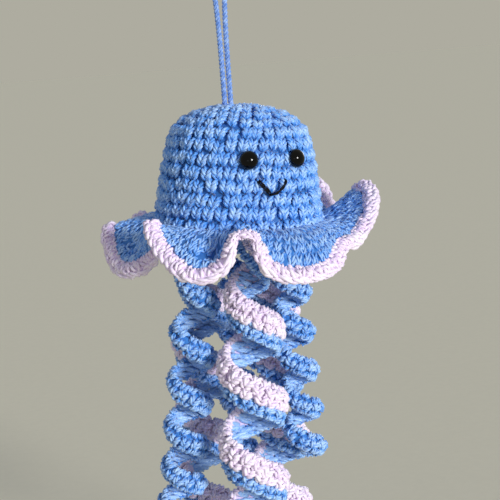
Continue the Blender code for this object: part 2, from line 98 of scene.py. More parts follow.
# Tentacles, as in the solids: name, root azimuth and reach, coil radius, ribbon width, first and last
# pitch, depth of the first pass over the side at FACING_AZIMUTH, tip depth (mm), lean in degrees
BLUE_OPENING_LENGTH = 24.0
WHITE_OPENING_LENGTH = 50.0
ROOT_COIL_SHARE = 0.12
ROOT_WIDTH_SHARE = 0.55
RIBBON_CROWN = 0.0018
BLUE_EDGE_WIDTH = 0.0042
LEAN_AZIMUTH = 63.0
FACING_AZIMUTH = -27.0
BLUE_TENTACLES = (
    ("tentacle_blue_left", -83.5, 16.3, 6.1, 8.2, 23.5, 12.0, 65.5, 156.0, -4.2),
    ("tentacle_blue_right", 41.0, 17.4, 5.2, 7.4, 15.4, 14.0, 63.0, 129.0, 6.0),
    ("tentacle_blue_back", 159.0, 24.0, 5.0, 7.4, 14.6, 13.6, 62.5, 150.0, 2.1))
WHITE_TENTACLES = (
    ("front", -16.0, 20.9, 9.6, 12.6, 23.0, 32.0, 72.8, 158.0, 0.9),
    ("back_right", 112.0, 15.9, 8.9, 12.4, 24.6, 27.0, 71.0, 160.0, 3.2),
    ("back_left", 207.0, 18.6, 9.0, 12.4, 25.0, 27.0, 70.5, 155.0, 2.0))

# Hanging loop, as in the solids
CORD_DIAMETER = 0.0019
LOOP_DROP = 0.060
LOOP_RADIUS = 0.0036
LOOP_SPREAD_START = 0.005
LOOP_SPREAD_POWER = 3.5
LOOP_SPREAD_DEG = 11.0
CORD_OFFSET = 0.0039
CORD_OFFSET_AZIMUTH = -117.0
TILT_DEG = 4.3
GAP = 0.0003

# Yarn of one, two or three plies: radius of a ply and its distance from the middle, in radii of the yarn
PLY_SHARES = {1: (1.0, 0.0), 2: (0.58, 0.52), 3: (0.54, 0.54)}
BLUE_YARN = "acrylic_yarn_blue"
WHITE_YARN = "acrylic_yarn_lavender_white"
RIBBON_THICKNESS = 0.00115
RIBBON_OVERLAP = 0.0004
RIBBON_STITCH = 0.0042
# pale is the share of the tone left where a leg dives, as painted shade at its feet.
BLUE_STITCH = {"lean": 0.25, "spread": 0.26, "plies": 3, "pale": 0.12, "tone": 0.86}
WHITE_STITCH = {"lean": 0.2, "spread": 0.22, "plies": 3, "pale": 0.75, "tone": 0.75}
FRILL_STITCH = 0.0038
EDGING_STITCH = 0.0034
EDGING_ROUNDS = 4
EDGING_STITCHES = 104
# Rows of the frill: share of its depth at the top and at the bottom, stitches and shift
FRILL_ROWS = ((0.0, 0.27, 72, 0.1), (0.27, 0.53, 86, 0.4), (0.53, 0.77, 96, 0.15), (0.77, 1.02, 104, 0.5))

# How loosely the stitches are worked, as standard deviations: place and tilt in stitches, drop in rounds,
# shade in tones and the fan of the legs as a share
LOOSE = {"place": 0.10, "drop": 0.09, "tilt": 0.18, "lift_mm": 0.14, "shade": 0.05, "fan": 0.20}

# Fibres of the yarn: turns of slant to a mm, streaks round a ply and to a mm along it, and how much they
# change its tone; then lighter and darker blotches to a metre
FIBRE_SLANT = 0.22
FIBRES_AROUND = 7.0
FIBRES_ALONG = 0.7
FIBRE_DEPTH = 0.75
FIBRE_RELIEF_MM = 0.05
BLOTCHES = 240.0
BLOTCH_DEPTH = 0.15

# Eyes: height of the dome's foot over the fabric, and how far they press the stitches down round them
EYE_SEAT = 0.0008
EYE_PRESS = 0.0007
EYE_PRESS_REACH = 0.0042
EYE_PRESS_FADE = 0.001

# Smile: legs as (azimuth in degrees, depth in mm), offsets of its strands in mm, share of the thickness
SMILE_LEGS = (
    (((-14.2, 24.6), (-11.5, 26.2), (-8.4, 28.0), (-5.4, 29.6)), (-0.36, 0.36), 0.78),
    (((-5.9, 29.5), (-2.6, 29.4), (1.0, 28.3), (5.0, 26.5), (7.6, 24.4)), (0.0,), 1.0))
SMILE_LIFT = 0.0017

# Camera at the photograph's angle: metres from the target, and metres to a pixel there
CAMERA_AZIMUTH = -27.0
CAMERA_ELEVATION = 9.0
CAMERA_ROLL = 4.3
CAMERA_DISTANCE = 0.45
CAMERA_PIXEL = 0.000368
CAMERA_PIXELS = 500
CAMERA_SENSOR_MM = 36.0
TARGET_DEPTH = 0.0529
TARGET_SIDE = 0.0041
# Light on the floor, so that its paint can look like the backdrop
FLOOR_LIGHT = (0.477, 0.494, 0.555)


def linear(code):
    """Scene-linear colour of an sRGB hex value."""
    channels = [int(code[i:i + 2], 16) / 255 for i in (1, 3, 5)]
    return tuple(c / 12.92 if c <= 0.04045 else ((c + 0.055) / 1.055) ** 2.4 for c in channels)


def size(name, text, default):
    return bpy.props.FloatProperty(name=name, description=text, default=default, unit="LENGTH",
                                   precision=5)


def colour(name, text, code):
    return bpy.props.FloatVectorProperty(name=name, description=text, default=linear(code), size=3,
                                         min=0.0, max=1.0, subtype="COLOR")


class JellyfishYarn(bpy.types.PropertyGroup):
    stitch_width: size("Stitch width", "Width of one stitch on the bell", 0.0043)
    row_height: size("Row height", "Height of one round on the bell", 0.0048)
    yarn_radius: size("Yarn radius", "Half the thickness of one leg of a stitch", 0.00106)
    # Each yarn's fibres colour is partly a painted highlight on the crest of every leg. Its grooves colour is
    # painted shade where the legs dive into the fabric and on the cloth between the stitches. Both also
    # colour fibre streaks.
    blue_fibres_and_highlight: colour("Blue, fibres", "Pale fibres on the crests of the blue yarn", "#B2D6FF")
    blue: colour("Blue", "Blue yarn", "#4F9CF2")
    blue_fibres_and_shade: colour("Blue, grooves", "Blue yarn down in the grooves", "#28589A")
    white_fibres_and_highlight: colour("Lavender white, fibres", "Pale fibres on the crests of the white yarn", "#FFF5FF")
    white: colour("Lavender white", "White yarn", "#F5E0FC")
    white_fibres_and_shade: colour("Lavender white, grooves", "White yarn down in the grooves", "#C2AEDE")


class JellyfishTrim(bpy.types.PropertyGroup):
    cord_light: colour("Cord, fibres", "Pale fibres on the crests of the cord", "#A6C4F2")
    cord: colour("Cord", "Twisted cord", "#7098DC")
    cord_deep: colour("Cord, grooves", "Twisted cord between its plies", "#3A61AC")
    eye_radius: size("Eye radius", "Radius of a safety eye", 0.0033)
    eye_dome: size("Eye dome", "Height of a safety eye's dome", 0.0027)
    eye_black: colour("Eye", "Moulded plastic of the eyes", "#030304")
    thread_black: colour("Thread", "Embroidery thread of the smile", "#0A080D")
    thread_radius: size("Thread radius", "Half the thickness of the smile's thread", 0.00050)


class JellyfishStage(bpy.types.PropertyGroup):
    backdrop: colour("Backdrop", "Plain pale wall behind the part", "#AEACA0")
    floor_gap: size("Floor gap", "Distance from the lowest tip down to the floor", 0.03)


# Helpers

def deselect_all():
    if bpy.context.object and bpy.context.object.mode != "OBJECT":
        bpy.ops.object.mode_set(mode="OBJECT")
    bpy.ops.object.select_all(action="DESELECT")


def close_edit():
    """Turns the faces outward and leaves edit mode."""
    bpy.ops.mesh.select_all(action="SELECT")
    bpy.ops.mesh.normals_make_consistent(inside=False)
    bpy.ops.object.mode_set(mode="OBJECT")


def polar(azimuth, reach, height):
    """Points round the bell's axis: azimuth 0 faces -Y, 90 faces +X."""
    angle = np.radians(azimuth)
    return np.stack(np.broadcast_arrays(reach * np.sin(angle), -reach * np.cos(angle), height), axis=-1)


def unit(vectors):
    return vectors / np.maximum(np.linalg.norm(vectors, axis=-1, keepdims=True), 1e-12)


def hang_matrix():
    """Place and tilt of the bell's axis below the hook."""
    towards = Vector(polar(LEAN_AZIMUTH, 1.0, 0.0))
    tilt = Matrix.Rotation(math.radians(TILT_DEG), 4, Vector((0, 0, 1)).cross(towards))
    share = CORD_OFFSET / BELL_SHOULDER_RADIUS
    dip = BELL_SHOULDER_DEPTH * (1.0 - math.sqrt(1.0 - share * share))
    seat = tilt @ Vector(polar(CORD_OFFSET_AZIMUTH, CORD_OFFSET, -dip))
    return Matrix.Translation(Vector((0, 0, -LOOP_DROP)) - seat) @ tilt


def placed(axes, spot):
    """Matrix that turns X, Y and Z to the axes and moves the origin to the spot."""
    place = Matrix(axes).transposed().to_4x4()
    place.translation = spot
    return place


def bell_radius(depth):
    """Outer radius of the bell's fabric at a depth below the crown."""
    depth = np.asarray(depth, dtype=float)
    rest = np.clip(1.0 - depth / BELL_SHOULDER_DEPTH, 0.0, 1.0)
    cap = BELL_SHOULDER_RADIUS * np.sqrt(1.0 - rest * rest)
    share = np.clip((depth - BELL_SHOULDER_DEPTH) / (BELL_HEIGHT - BELL_SHOULDER_DEPTH), 0.0, None)
    side = BELL_SHOULDER_RADIUS + (BELL_BASE_RADIUS - BELL_SHOULDER_RADIUS) * share ** BELL_WALL_BULGE
    return np.where(depth < BELL_SHOULDER_DEPTH, cap, side)


def spaced(points, count, closed=False):
    """Points at equal distances along a polyline."""
    path = np.vstack([points, points[:1]]) if closed else np.asarray(points)
    reach = np.concatenate([[0.0], np.cumsum(np.linalg.norm(np.diff(path, axis=0), axis=1))])
    wanted = np.linspace(0.0, reach[-1], count, endpoint=not closed)
    return np.stack([np.interp(wanted, reach, path[:, axis]) for axis in range(path.shape[1])], axis=-1)


def lengths(points, axis=0):
    """Length of a polyline, or of each of many."""
    return np.linalg.norm(np.diff(points, axis=axis), axis=-1).sum(axis=axis)


def rounded(points, steps, closed=True):
    """Catmull-Rom curve through points."""
    count = len(points)
    spans = count if closed else count - 1
    curve = []
    for span in range(spans):
        picks = [(span + shift) % count if closed else min(max(span + shift, 0), count - 1)
                 for shift in (-1, 0, 1, 2)]
        a, b, c, d = (points[pick] for pick in picks)
        t = np.arange(steps)[:, None] / steps
        curve.append(0.5 * (2 * b + (c - a) * t + (2 * a - 5 * b + 4 * c - d) * t ** 2
                            + (3 * b - a - 3 * c + d) * t ** 3))
    if not closed:
        curve.append(points[-1:])
    return np.vstack(curve)


class Fabric:
    """A worked surface as a grid of points: u runs along a round, v from round to round."""

    def __init__(self, points, round_u=True, round_v=False, away_from=None, facing=1.0):
        self.points = points
        self.round_u = round_u
        self.round_v = round_v
        normals = unit(np.cross(self.slope(1, round_v), self.slope(0, round_u))) * facing
        if away_from is not None and np.sum(normals * (points - away_from)) < 0:
            normals = -normals
        self.normals = normals

    def slope(self, axis, closed):
        if closed:
            return np.roll(self.points, -1, axis) - np.roll(self.points, 1, axis)
        return np.gradient(self.points, axis=axis)

    def at(self, u, v):
        """Points and normals at places on the fabric."""
        def cells(place, count, closed):
            x = (place % 1.0) * count if closed else np.clip(place, 0, 1) * (count - 1)
            low = np.floor(x).astype(int)
            after = (low + 1) % count if closed else np.minimum(low + 1, count - 1)
            return low % count, after, (x - low)[..., None]

        i, i2, fx = cells(u, self.points.shape[0], self.round_u)
        j, j2, fy = cells(v, self.points.shape[1], self.round_v)
        result = []
        for grid in (self.points, self.normals):
            low = grid[i, j] * (1 - fx) + grid[i2, j] * fx
            high = grid[i, j2] * (1 - fx) + grid[i2, j2] * fx
            result.append(low * (1 - fy) + high * fy)
        return result[0], unit(result[1])


class Work:
    """Collects yarn and backing, and makes them one mesh."""

    def __init__(self):
        self.points, self.tones, self.faces, self.marks = [], [], [], []
        self.count = 0

    def add(self, points, tones, faces, marks):
        """faces and marks are lists of arrays: corner indices, and the (u, v) of each corner."""
        for corners, mark in zip(faces, marks):
            self.faces.append(corners + self.count)
            self.marks.append(mark)
        self.points.append(points)
        self.tones.append(tones)
        self.count += len(points)

    def make(self, name, finish, matrix=Matrix()):
        points = np.vstack(self.points)
        turn = np.array(matrix)
        points = points @ turn[:3, :3].T + turn[:3, 3]
        sides = np.concatenate([np.full(len(f), f.shape[1]) for f in self.faces])
        mesh = bpy.data.meshes.new(name)
        mesh.vertices.add(len(points))
        mesh.vertices.foreach_set("co", points.ravel())
        mesh.loops.add(int(sides.sum()))
        mesh.loops.foreach_set("vertex_index", np.concatenate([f.ravel() for f in self.faces]))
        mesh.polygons.add(len(sides))
        mesh.polygons.foreach_set("loop_start", np.concatenate([[0], np.cumsum(sides)[:-1]]))
        mesh.polygons.foreach_set("use_smooth", np.ones(len(sides), dtype=bool))
        layer = mesh.uv_layers.new(name="yarn")
        layer.data.foreach_set("uv", np.concatenate([m.ravel() for m in self.marks]))
        # Tone of each point: random from stitch to stitch, times the painted shade towards the feet of the
        # legs and on the backing.
        tone = mesh.attributes.new("tone", "FLOAT", "POINT")
        tone.data.foreach_set("value", np.concatenate(self.tones))
        mesh.update(calc_edges=True)
        mesh.validate()
        piece = bpy.data.objects.new(name, mesh)
        bpy.context.collection.objects.link(piece)
        mesh.materials.append(finish)
        return piece


def model_strand(sides, steps, tip=0.5):
    """One short strand standing on Z from 0 to 1, modelled once and read back as plain arrays."""
    deselect_all()
    bpy.ops.mesh.primitive_circle_add(vertices=sides, radius=tip, fill_type="NGON", location=(0, 0, 0))
    strand = bpy.context.object
    bpy.ops.object.mode_set(mode="EDIT")
    last = tip
    for step in range(1, steps + 1):
        wide = tip if step == steps else 1.0
        bpy.ops.mesh.extrude_region_move(TRANSFORM_OT_translate={"value": (0, 0, 1 / steps)})
        if wide != last:
            bpy.ops.transform.resize(value=(wide / last, wide / last, 1))
            last = wide
    close_edit()
    mesh = strand.data
    spots = np.empty(len(mesh.vertices) * 3)
    mesh.vertices.foreach_get("co", spots)
    spots = spots.reshape(-1, 3)
    faces = {}
    for face in mesh.polygons:
        faces.setdefault(len(face.vertices), []).append(list(face.vertices))
    bpy.data.objects.remove(strand, do_unlink=True)
    bpy.data.meshes.remove(mesh)
    turn = (np.arctan2(spots[:, 1], spots[:, 0]) / math.tau) % 1.0
    level = np.round(spots[:, 2] * steps).astype(int)
    groups = [np.array(group) for group in faces.values()]
    marks = []
    for group in groups:
        around = turn[group]
        around = np.where(around.max(axis=1, keepdims=True) - around > 0.5, around + 1.0, around)
        marks.append(np.stack([level[group] / steps, around], axis=-1))
    return {"level": level, "turn": turn, "wide": np.hypot(spots[:, 0], spots[:, 1]),
            "groups": groups, "marks": marks, "steps": steps}


def lay(work, strand, paths, ups, radius, tones, plies=2, turns=0.8, phase=0.0):
    """Lays plied yarn along many paths (N, steps + 1, 3); each ply is one copy of the strand."""
    count = len(paths)
    along = unit(np.gradient(paths, axis=1))
    ups = unit(ups - along * np.sum(ups * along, axis=-1, keepdims=True))
    sides = np.cross(ups, along)
    radius, phase = (np.broadcast_to(np.reshape(value, (-1, 1)), (count, 1)) for value in (radius, phase))
    share = np.linspace(0.0, 1.0, strand["steps"] + 1)[None, :]
    thin, offset = (radius * part for part in PLY_SHARES[plies])
    length = lengths(paths, 1)
    level = strand["level"]
    turn = strand["turn"] * math.tau
    for ply in range(plies):
        angle = (ply / plies + phase + turns * share) * math.tau
        middle = (paths + (offset * np.cos(angle))[..., None] * sides
                  + (offset * np.sin(angle))[..., None] * ups)
        reach = thin * strand["wide"]
        spots = (middle[:, level] + (reach * np.cos(turn))[..., None] * sides[:, level]
                 + (reach * np.sin(turn))[..., None] * ups[:, level])
        base = np.arange(count)[:, None, None] * len(level)
        faces = [(group[None] + base).reshape(-1, group.shape[1]) for group in strand["groups"]]
        marks = []
        for mark in strand["marks"]:
            copies = np.broadcast_to(mark[None], (count, *mark.shape)).copy()
            copies[..., 0] *= length[:, None, None] / MM
            copies[..., 1] += (ply * 0.37 + np.arange(count) * 0.618)[:, None, None] % 1.0
            marks.append(copies.reshape(-1, *mark.shape[1:]))
        work.add(spots.reshape(-1, 3), tones[:, level].ravel(), faces, marks)


def backing(work, fabric, low, high, across, down, tone=0.0, poles=False):
    """Closed thin cloth under the stitches, between two offsets from the fabric; a tube needs only high."""
    us = np.arange(across) / across if fabric.round_u else np.linspace(0, 1, across)
    vs = np.arange(down) / down if fabric.round_v else np.linspace(0, 1, down)
    spots, normals = fabric.at(*np.meshgrid(us, vs, indexing="ij"))
    tube = fabric.round_v
    layers = [spots + normals * offset for offset in ((high,) if tube else (high, low))]
    size_each = across * down
    index = np.arange(size_each).reshape(across, down)
    right = np.roll(index, -1, 0) if fabric.round_u else index[1:]
    left = index if fabric.round_u else index[:-1]
    faces = []

    def quads(a, b, c, d):
        faces.append(np.stack([a, b, c, d], axis=-1).reshape(-1, 4))

    if tube:
        quads(left, right, np.roll(right, -1, 1), np.roll(left, -1, 1))
        if not fabric.round_u:
            faces += [index[0][None], index[-1][::-1][None]]
    else:
        a, b, c, d = left[:, :-1], right[:, :-1], right[:, 1:], left[:, 1:]
        quads(a, b, c, d)
        quads(a + size_each, d + size_each, c + size_each, b + size_each)
        if poles:
            faces += [index[:, 0][::-1][None], index[:, 0][None] + size_each]
        else:
            quads(right[:, 0], left[:, 0], left[:, 0] + size_each, right[:, 0] + size_each)
        quads(left[:, -1], right[:, -1], right[:, -1] + size_each, left[:, -1] + size_each)
    points = np.vstack([layer.reshape(-1, 3) for layer in layers])
    first = points[faces[0]]
    facing = np.cross(first[:, 1] - first[:, 0], first[:, 3] - first[:, 0])
    if np.sum(facing * normals.reshape(-1, 3)[faces[0][:, 0]]) < 0:
        faces = [group[:, ::-1] for group in faces]
    marks = [np.zeros((*group.shape, 2)) for group in faces]
    # The cloth's tone is painted shade, seen in the gaps between the stitches.
    work.add(points, np.full(len(points), tone), faces, marks)


def crochet(work, strand, fabric, rows, seed, radius, crest, dive, width, lean=0.10, spread=0.24,
            reach=(-0.04, 0.98), plies=2, turns=0.8, chain=False, pale=0.45, press=None, tone=0.66):
    """Rounds of stitches: two plied legs each, that arch out of the fabric and dive into the round below.

    rows lists (v at the top, v at the bottom, stitches, shift). crest and dive are heights of the yarn's
    middle over the fabric, reach says where in its row a leg starts and ends, and pale is the share of its
    tone where it dives, a painted shade that darkens each leg towards its feet. A chain stitch lies along
    its round instead of across it.
    """
    chance = np.random.default_rng(seed)

    def loose(what, *shape):
        """One random difference for each stitch of the row."""
        return chance.normal(0, LOOSE[what], (count, *shape))

    share = np.linspace(0.0, 1.0, strand["steps"] + 1)[None]
    arch = np.sin(np.pi * share) ** 0.75
    for top, bottom, count, shift in rows:
        place = np.arange(count) + 0.5 + shift
        if not fabric.round_u:
            place = np.clip(place, 0.0, count)
        cell = 1.0 / count
        place = (place + loose("place")) * cell
        drop = loose("drop", 1)
        level = np.full(count, (top + bottom) / 2)
        ends = [fabric.at(place + side * cell, level)[0] for side in (-0.5, 0.5)]
        scale = np.clip(np.linalg.norm(ends[1] - ends[0], axis=-1) / width, 0.45, 1.12)
        tilt = lean + loose("tilt")
        lift = loose("lift_mm") * MM
        shade = tone + loose("shade")
        for side in (-1, 1):
            fan = spread * (1 + loose("fan", 1))
            if chain:
                s = (share - 0.5) * 1.5 + 0.12 * side
                d = 0.5 + side * (fan * (0.35 + 0.65 * np.sin(np.pi * share * 0.75)))
                s = np.broadcast_to(s, d.shape)
            else:
                s = side * (0.09 + fan * (1 - share) ** 0.8) + tilt[:, None] * (0.5 - share)
                d = np.broadcast_to(reach[0] + (reach[1] - reach[0]) * share, s.shape) + 0.05 * side + drop
            spots, normals = fabric.at(place[:, None] + s * cell, top + (bottom - top) * d)
            height = dive + (crest - dive) * arch + lift[:, None]
            if press:
                height += press(spots)
            # Painted shade: the tone falls from the crest of each leg to pale times that where it dives into
            # the fabric.
            tones = np.clip(shade[:, None] * (pale + (1 - pale) * arch), 0.0, 1.0)
            lay(work, strand, spots + normals * height[..., None], normals, radius * scale, tones,
                plies=plies, turns=turns * side, phase=chance.uniform(0, 0.5, count))


# Materials

def add_node(tree, kind, links=(), **settings):
    """Adds a node; links are (own input, node or output), settings its properties and, with in_, inputs."""
    item = tree.nodes.new("ShaderNode" + kind)
    for key, value in settings.items():
        if key.startswith("in_"):
            item.inputs[key[3:]].default_value = value
        else:
            setattr(item, key, value)
    for own, source in links:
        output = source.outputs[0] if isinstance(source, bpy.types.Node) else source
        tree.links.new(output, item.inputs[own])
    return item


def add_maths(tree, operation, *terms, **settings):
    """Adds a math node over nodes, outputs and plain numbers."""
    links = [(own, term) for own, term in enumerate(terms) if not isinstance(term, float)]
    item = add_node(tree, "Math", links, operation=operation, **settings)
    for own, term in enumerate(terms):
        if isinstance(term, float):
            item.inputs[own].default_value = term
    return item


def new_finish(name, roughness):
    """New material, its node tree and its shader."""
    finish = bpy.data.materials.new(name)
    finish.use_nodes = True
    shader = finish.node_tree.nodes["Principled BSDF"]
    shader.inputs["Roughness"].default_value = roughness
    return finish, finish.node_tree, shader


def add_ramp(tree, source, shader, *stops):
    """Colour ramp from the source to the shader's base colour; stops are (position, colour)."""
    ramp = add_node(tree, "ValToRGB", [(0, source)])
    elements = ramp.color_ramp.elements
    for index, (position, tint) in enumerate(stops):
        stop = elements[index] if index < 2 else elements.new(position)
        stop.position = position
        stop.color = (*tint, 1.0)
    tree.links.new(ramp.outputs[0], shader.inputs["Base Color"])


def add_bump(tree, source, shader, strength, relief_mm):
    bump = add_node(tree, "Bump", [("Height", source)], in_Strength=strength,
                    in_Distance=relief_mm * MM)
    tree.links.new(bump.outputs[0], shader.inputs["Normal"])


def yarn_finish(name, light, plain, deep, roughness, sheen):
    """Acrylic yarn: soft lustre, a painted highlight on the crest of each ply and painted shade down in the
    grooves, both carried by the tone attribute.

    Fine fibres run along each ply with a slight twist, drawn coarser than real ones so that they show.
    """
    finish, tree, shader = new_finish(name, roughness)
    shader.inputs["Sheen Weight"].default_value = sheen
    shader.inputs["Sheen Roughness"].default_value = 0.4
    marks = add_node(tree, "UVMap", uv_map="yarn")
    split = add_node(tree, "SeparateXYZ", [(0, marks)])
    slant = add_maths(tree, "MULTIPLY", split, FIBRE_SLANT)
    around = add_maths(tree, "ADD", split.outputs[1], slant)
    spin = add_maths(tree, "MULTIPLY", around, FIBRES_AROUND)
    stretch = add_maths(tree, "MULTIPLY", split, FIBRES_ALONG)
    fibres_at = add_node(tree, "CombineXYZ", [(0, stretch), (1, spin)])
    fibres = add_node(tree, "TexNoise", [("Vector", fibres_at)], in_Scale=1.0, in_Detail=3.0,
                      in_Roughness=0.6)
    spot = add_node(tree, "TexCoord")
    blotch = add_node(tree, "TexNoise", [("Vector", spot.outputs["Object"])],
                      in_Scale=BLOTCHES, in_Detail=2.0)
    tone = add_node(tree, "Attribute", attribute_name="tone")
    mixed = add_maths(tree, "MULTIPLY_ADD", fibres, FIBRE_DEPTH * 2, -FIBRE_DEPTH)
    lifted = add_maths(tree, "ADD", tone.outputs["Fac"], mixed)
    spread = add_maths(tree, "MULTIPLY_ADD", blotch, BLOTCH_DEPTH * 2, -BLOTCH_DEPTH)
    level = add_maths(tree, "ADD", lifted, spread, use_clamp=True)
    # The ramp turns low tone into painted shade and high tone into a painted highlight, with the fibre
    # streaks and blotches mixed in.
    add_ramp(tree, level, shader, (0.10, deep), (0.88, light), (0.55, plain))
    # Specular follows the same tone, so the painted shade reflects less too.
    gloss = add_maths(tree, "MULTIPLY", level, 0.8)
    tree.links.new(gloss.outputs[0], shader.inputs["Specular IOR Level"])
    add_bump(tree, fibres, shader, 0.8, FIBRE_RELIEF_MM)
    return finish


def plain_finish(name, tint, roughness, grain_mm, relief_mm, gloss=0.5, shift=0.25):
    """Moulded or spun material: one colour with a fine grain of a real size."""
    finish, tree, shader = new_finish(name, roughness)
    shader.inputs["Specular IOR Level"].default_value = gloss
    spot = add_node(tree, "TexCoord")
    grain = add_node(tree, "TexNoise", [("Vector", spot.outputs["Object"])],
                     in_Scale=1000.0 / grain_mm, in_Detail=3.0)
    add_ramp(tree, grain, shader, (0.3, [channel * (1 - shift) for channel in tint]), (0.7, tint))
    if relief_mm:
        add_bump(tree, grain, shader, 0.6, relief_mm)
    return finish


def finish_named(name):
    """The yarns, threads and plastics of this part, each made once."""
    made = bpy.data.materials.get(name)
    if made:
        return made
    yarn = bpy.context.scene.jellyfish_yarn
    trim = bpy.context.scene.jellyfish_trim
    yarns = {
        BLUE_YARN: (yarn.blue_fibres_and_highlight, yarn.blue, yarn.blue_fibres_and_shade, 0.42, 0.4),
        WHITE_YARN: (yarn.white_fibres_and_highlight, yarn.white, yarn.white_fibres_and_shade, 0.5, 0.4),
        "twisted_cotton_cord": (trim.cord_light, trim.cord, trim.cord_deep, 0.5, 0.2)}
    if name in yarns:
        return yarn_finish(name, *yarns[name])
    plain = {
        "knotted_cord": (linear("#6E96DC"), 0.6, 0.8, 0.12),
        "embroidery_thread_black": (trim.thread_black, 0.6, 0.3, 0.02, 0.2),
        "moulded_eye_plastic": (trim.eye_black, 0.03, 2.0, 0.0, 0.22, 0.1),
        "moulded_washer_plastic": (linear("#262629"), 0.42, 0.6, 0.02),
        "polyester_fibrefill": (linear("#E9E8E4"), 0.95, 1.6, 0.4)}
    return plain_finish(name, *plain[name])


# Surfaces of the part, round the bell's own axis

def bell_outline(start):
    """Radius and height from the crown down, from a small share of the way on."""
    depths = BELL_HEIGHT * np.linspace(start, 1.0, 500) ** 2
    return np.stack([bell_radius(depths), -depths], axis=-1)


def bell_fabric():
    rings = spaced(bell_outline(0.004), 120)
    azimuth = np.arange(180) * 2.0
    return Fabric(polar(azimuth[:, None], rings[None, :, 0], rings[None, :, 1]))


def bell_rounds():
    """Rows from the crown: six more stitches a round until the side, then a constant count."""
    yarn = bpy.context.scene.jellyfish_yarn
    rounds = round(lengths(bell_outline(0.0)) / yarn.row_height)
    full = round(math.tau * (BELL_SHOULDER_RADIUS + BELL_BASE_RADIUS) / 2 / yarn.stitch_width)
    return [(index / rounds, (index + 1) / rounds, min(6 * (index + 1), full), 0.45 * index)
            for index in range(rounds)]


def frill_lines(columns):
    side = float(bell_radius(FRILL_ROOT_DEPTH))
    rim = np.array([polar(azimuth, side + out * MM, -FRILL_ROOT_DEPTH - drop * MM)
                    for azimuth, out, drop in FRILL_RIM])
    edge = spaced(rounded(rim, 12), columns, closed=True)
    turns = np.degrees(np.unwrap(np.arctan2(edge[:, 0], -edge[:, 1])))
    window = columns // 8
    longer = np.concatenate([turns[-window:] - 360.0, turns, turns[:window] + 360.0])
    roots = np.convolve(longer, np.ones(2 * window + 1) / (2 * window + 1), mode="valid")
    return polar(roots, side + 0.0007, -FRILL_ROOT_DEPTH), polar(roots, 1.0, 0.0), edge


def frill_fabric(tuck=0.0, columns=480, steps=20):
    """Frill as in the solids; its edge may be tucked that much further under the edging."""
    root, outward, rim = frill_lines(columns)
    reach = np.linalg.norm(rim - root, axis=1, keepdims=True)
    straight = (rim - root) / reach
    lift = np.clip(FRILL_LIFT * straight[:, 2:], 0.0, 1.0)
    first = root + (outward + (straight - outward) * lift) * reach * FRILL_ROOT_FLARE
    run = unit(rim - first)
    edge = rim - run * (EDGING_WIDTH / 2 + EDGING_CLEARANCE - tuck)
    second = edge - run * reach * 0.3
    t = np.linspace(0.0, 1.0, steps)[None, :, None]
    line = (root[:, None] * (1 - t) ** 3 + first[:, None] * 3 * t * (1 - t) ** 2
            + second[:, None] * 3 * t * t * (1 - t) + edge[:, None] * t ** 3)
    azimuth = np.degrees(np.arctan2(rim[:, :1], -rim[:, 1:2]))
    for middle, rise, wide in FRILL_FOLDS:
        line[..., 2] += rise * MM * np.exp(-((azimuth - middle) / wide) ** 2) * np.sin(np.pi * t[..., 0]) ** 2
    return Fabric(line), run


def edging_fabric():
    """Tube round the rim; v = 0 is its outermost line and v = 0.25 its top."""
    frill, run = frill_fabric()
    edge = frill.points[:, -1]
    normal = frill.normals[:, -1]
    side = np.roll(edge, -1, 0) - np.roll(edge, 1, 0)
    out = unit(np.cross(side, normal))
    out = np.where(np.sum(out * run, axis=1, keepdims=True) < 0, -out, out)
    centre = edge + out * (EDGING_CLEARANCE + EDGING_WIDTH / 2)
    angle = np.arange(24) / 24 * math.tau
    points = (centre[:, None] + out[:, None] * (EDGING_WIDTH / 2 - 0.0007) * np.cos(angle)[None, :, None]
              + normal[:, None] * (EDGING_THICKNESS / 2 - 0.0006) * np.sin(angle)[None, :, None])
    return Fabric(points, round_v=True, away_from=centre[:, None])


def curl(opening, azimuth, reach, coil, pitch_first, pitch_last, first_pass, tip, lean, steps=44):
    """Stations down a corkscrew ribbon: centre, outward, crosswise direction and share of full width."""
    top = BELL_HEIGHT / MM
    root = polar(azimuth, reach * MM, -BELL_HEIGHT - GAP)
    drift = polar(LEAN_AZIMUTH, math.tan(math.radians(lean)), 0.0)

    def pitch(depth):
        return pitch_first + (pitch_last - pitch_first) * (depth - top) / (tip - top)
    turn, depth = FACING_AZIMUTH, first_pass
    while depth > top:
        turn -= 360.0 / steps
        depth -= pitch(depth) / steps
    centres, radials, drop, depth = [], [], 0.0, top
    while depth < tip:
        depth = top + drop
        opened = math.sin(math.pi / 2 * min(1.0, drop / opening))
        radius = coil * MM * (ROOT_COIL_SHARE + (1 - ROOT_COIL_SHARE) * opened)
        radial = polar(turn, 1.0, 0.0)
        centres.append(root + radial * radius + drift * drop * MM - np.array((0, 0, drop * MM)))
        radials.append(radial)
        turn += 360.0 / steps
        drop += pitch(depth) / steps
    centres, radials = np.array(centres), np.array(radials)
    count = len(centres)
    along = np.gradient(centres, axis=0)
    along[0] = (0, 0, -1)
    along = unit(along)
    outward = unit(radials - along * np.sum(along * radials, axis=1, keepdims=True))
    crosswise = np.cross(outward, along)
    index = np.arange(count)
    rise = np.minimum(1.0, index / (steps * 0.6))
    fall = np.minimum(1.0, np.sqrt((count - 1 - index) / (steps * 0.25)) + 0.25)
    share = np.minimum(ROOT_WIDTH_SHARE + (1 - ROOT_WIDTH_SHARE) * rise, fall)
    return centres, outward, crosswise, share


